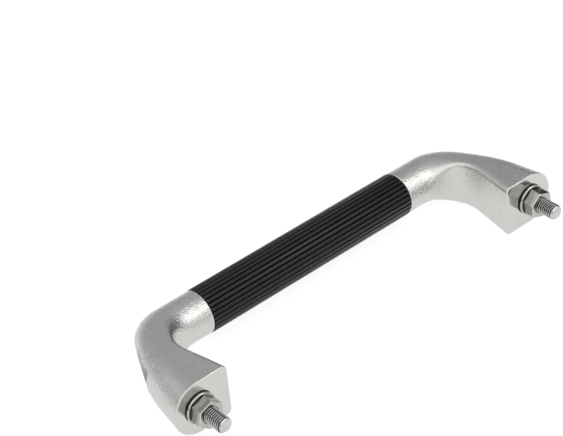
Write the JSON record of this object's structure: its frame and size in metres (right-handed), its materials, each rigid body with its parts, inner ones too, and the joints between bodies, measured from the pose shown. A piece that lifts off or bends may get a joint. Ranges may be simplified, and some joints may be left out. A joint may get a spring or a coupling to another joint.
{
  "type": "tube handle",
  "caption": "Tube handle with a black ribbed grip sleeve between cast metal legs that bend square, each with a socket head screw, washer and nut.",
  "frame": {"origin": "midway between the two screws, on the plane of the feet's mounting faces", "axes": "+X along the grip, from the left leg to the right one; +Y from the mounting plane to the grip, so the screws point along -Y; +Z sideways, up when the handle lies on its side"},
  "size_m": [0.299, 0.1008, 0.035],
  "materials": {
    "leg_metal": "satin, shot-blasted",
    "tube_metal": "brushed",
    "sleeve_rubber": "satin, ribbed",
    "fastener_steel": "bright, as turned"
  },
  "bodies": {
    "root": {"leg_left": "leg_metal", "leg_right": "leg_metal", "core_tube": "tube_metal", "grip_sleeve": "sleeve_rubber", "screw_left": "fastener_steel", "screw_right": "fastener_steel", "washer_left": "fastener_steel", "washer_right": "fastener_steel", "nut_left": "fastener_steel", "nut_right": "fastener_steel"}
  },
  "joints": []
}
